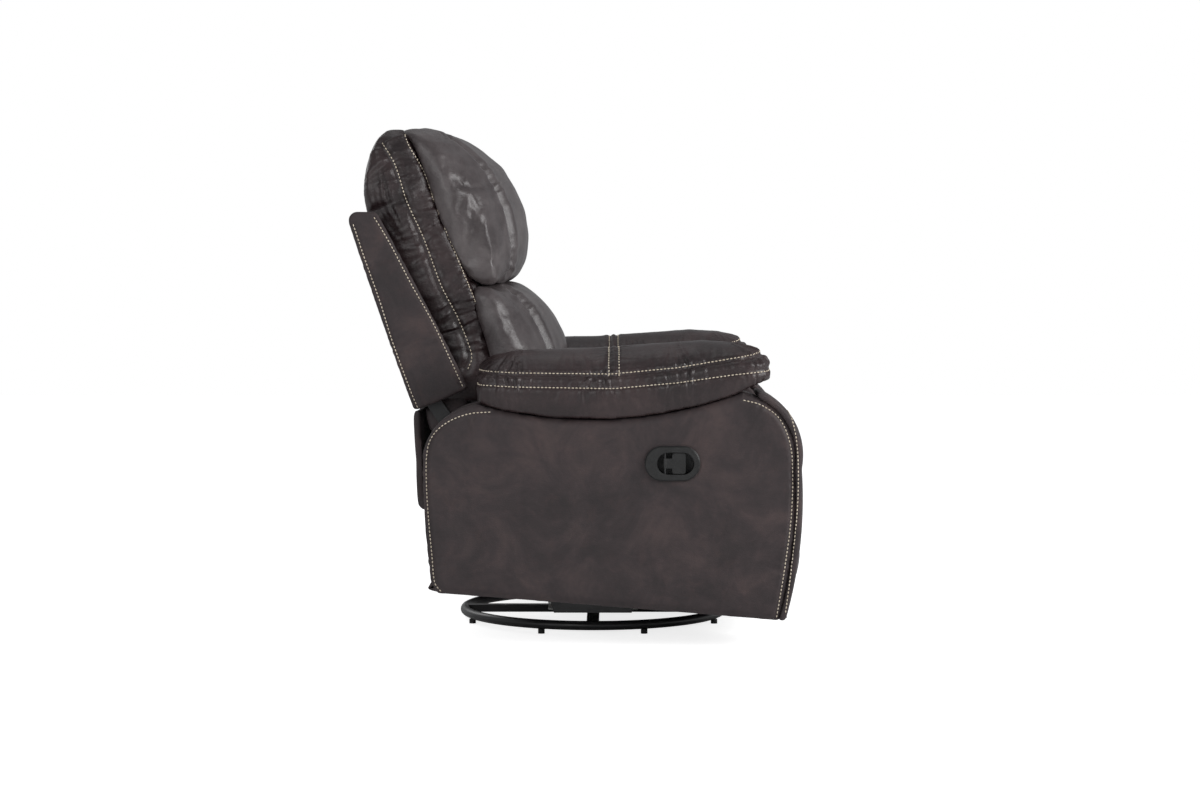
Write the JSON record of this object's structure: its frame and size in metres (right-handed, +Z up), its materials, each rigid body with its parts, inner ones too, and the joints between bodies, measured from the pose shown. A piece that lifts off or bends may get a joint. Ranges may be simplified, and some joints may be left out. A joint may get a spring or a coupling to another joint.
{
  "type": "swivel glider recliner",
  "caption": "Padded swivel glider recliner with pillow-top arms, split back cushions, fold-out scissor footrest, arm-mounted release paddle and round tube base",
  "frame": {"origin": "on the floor, under the middle of the closed chair's bounding box", "axes": "+X is the chair's front, where the footrest opens, +Y is its left side and +Z is up"},
  "size_m": [0.913, 0.9834, 1.034],
  "materials": {
    "pad_leather": "soft glossy dark brown leather-look upholstery over foam",
    "side_leather": "matte mottled grey-brown suede-like upholstery",
    "plywood": "bare plywood, hidden inside",
    "black_steel": "black powder-coated steel",
    "zinc_steel": "zinc-plated steel",
    "white_nylon": "natural nylon",
    "black_plastic": "black moulded plastic, fine satin grain"
  },
  "bodies": {
    "base": {"base_ring": "black_steel", "base_cross_bars": "black_steel", "base_feet": "black_plastic", "swivel_lower_plate": "zinc_steel", "swivel_king_pin": "zinc_steel", "swivel_bearing_ring": "white_nylon"},
    "cradle": {"swivel_upper_plate": "zinc_steel", "glider_cradle": "black_steel", "glide_upper_pins": "zinc_steel"},
    "glide_front": {"glide_links_front": "zinc_steel"},
    "glide_rear": {"glide_links_rear": "zinc_steel"},
    "carriage": {"glide_lower_pins": "zinc_steel", "lift_pivot_pins": "zinc_steel", "recline_pins": "zinc_steel", "mechanism_plate_left": "black_steel", "mechanism_plate_right": "black_steel", "cross_tube_front": "black_steel", "cross_tube_rear": "black_steel", "arm_panel_inner_left": "plywood", "arm_boards_left": "plywood", "arm_panel_outer_left": "side_leather", "arm_front_band_left": "side_leather", "arm_pad_left": "pad_leather", "arm_panel_inner_right": "plywood", "arm_boards_right": "plywood", "arm_panel_outer_right": "side_leather", "arm_front_band_right": "side_leather", "arm_pad_right": "pad_leather", "seat_frame": "plywood", "seat_springs": "zinc_steel", "seat_cushion": "pad_leather", "handle_escutcheon": "black_plastic", "handle_hinge_pin": "zinc_steel"},
    "handle": {"handle_paddle": "black_plastic"},
    "lift_front": {"front_lift_links": "black_steel", "footrest_brace_tube": "black_steel", "lift_link_rivets": "zinc_steel"},
    "lift_rear": {"rear_lift_links": "black_steel"},
    "lower_link": {"lower_ottoman_links": "black_steel", "lower_link_rivets": "zinc_steel"},
    "upper_link": {"upper_ottoman_links": "black_steel", "upper_link_rivets": "zinc_steel"},
    "steering_link": {"mid_pad_steering_links": "black_steel"},
    "ottoman": {"ottoman_bracket_left": "black_steel", "ottoman_bracket_right": "black_steel", "ottoman_board": "plywood", "ottoman_cushion": "pad_leather"},
    "mid_pad": {"mid_pad_brackets": "black_steel", "mid_pad_rivets": "zinc_steel", "mid_pad_board": "plywood", "mid_pad_cushion": "pad_leather"},
    "back": {"recline_brackets": "black_steel", "back_frame": "plywood", "back_wing_left": "side_leather", "back_wing_right": "side_leather", "back_outer_panel": "side_leather", "back_cushion": "pad_leather", "head_pillow": "pad_leather", "lumbar_pillow": "pad_leather"},
    "skirt": {"lower_back_skirt": "side_leather"}
  },
  "joints": [
    {"name": "swivel", "type": "hinge", "parent": "base", "child": "cradle", "pos_m": [0.027, 0, 0.0342], "axis": [0, 0, 1], "continuous": true},
    {"name": "glide", "type": "hinge", "parent": "cradle", "child": "glide_front", "pos_m": [0.142, 0, 0.215], "axis": [0, -1, 0], "range_deg": [-20, 20]},
    {"name": "glide_rear_link", "type": "hinge", "parent": "cradle", "child": "glide_rear", "pos_m": [-0.088, 0, 0.215], "axis": [0, -1, 0], "range_deg": [-20, 20]},
    {"name": "glide_carriage", "type": "hinge", "parent": "glide_front", "child": "carriage", "pos_m": [0.142, 0, 0.115], "axis": [0, -1, 0], "range_deg": [-20, 20]},
    {"name": "recline", "type": "hinge", "parent": "carriage", "child": "back", "pos_m": [-0.144, 0, 0.252], "axis": [0, -1, 0], "range_deg": [0, 35]},
    {"name": "skirt_fold", "type": "hinge", "parent": "back", "child": "skirt", "pos_m": [-0.324, 0, 0.4504], "axis": [0, -1, 0], "range_deg": [-26, 0]},
    {"name": "footrest", "type": "hinge", "parent": "carriage", "child": "lift_front", "pos_m": [0.255, 0, 0.381], "axis": [0, -1, 0], "range_deg": [0, 83]},
    {"name": "footrest_rear_link", "type": "hinge", "parent": "carriage", "child": "lift_rear", "pos_m": [0.215, 0, 0.336], "axis": [0, -1, 0], "range_deg": [0, 83]},
    {"name": "footrest_knee", "type": "hinge", "parent": "lift_front", "child": "lower_link", "pos_m": [0.22417, 0, 0.12989], "axis": [0, -1, 0], "range_deg": [-83, 0]},
    {"name": "ottoman_turn", "type": "hinge", "parent": "lower_link", "child": "ottoman", "pos_m": [0.33829, 0, 0.21099], "axis": [0, -1, 0], "range_deg": [0, 83]},
    {"name": "footrest_cross", "type": "hinge", "parent": "lift_front", "child": "upper_link", "pos_m": [0.23197, 0, 0.19341], "axis": [0, -1, 0], "range_deg": [-83, 0]},
    {"name": "footrest_steering", "type": "hinge", "parent": "lift_front", "child": "steering_link", "pos_m": [0.23928, 0, 0.25296], "axis": [0, -1, 0], "range_deg": [-83, 0]},
    {"name": "mid_pad_turn", "type": "hinge", "parent": "upper_link", "child": "mid_pad", "pos_m": [0.34608, 0, 0.27451], "axis": [0, -1, 0], "range_deg": [0, 77]},
    {"name": "release_handle", "type": "hinge", "parent": "carriage", "child": "handle", "pos_m": [0.1685, -0.481, 0.364], "axis": [0, 0, 1], "range_deg": [-30, 0], "stiffness_Nm_per_rad": 0.35, "springref_deg": 5.73}
  ],
  "couplings": [
    {"joint": "glide_rear_link", "follows": "glide", "ratio": 1},
    {"joint": "glide_carriage", "follows": "glide", "ratio": -1},
    {"joint": "skirt_fold", "follows": "recline", "ratio": -0.74286},
    {"joint": "footrest_rear_link", "follows": "footrest", "ratio": 1},
    {"joint": "footrest_knee", "follows": "footrest", "ratio": -1},
    {"joint": "ottoman_turn", "follows": "footrest", "ratio": 1},
    {"joint": "footrest_cross", "follows": "footrest", "ratio": -1},
    {"joint": "footrest_steering", "follows": "footrest", "ratio": -1},
    {"joint": "mid_pad_turn", "follows": "footrest", "ratio": 0.92771}
  ]
}
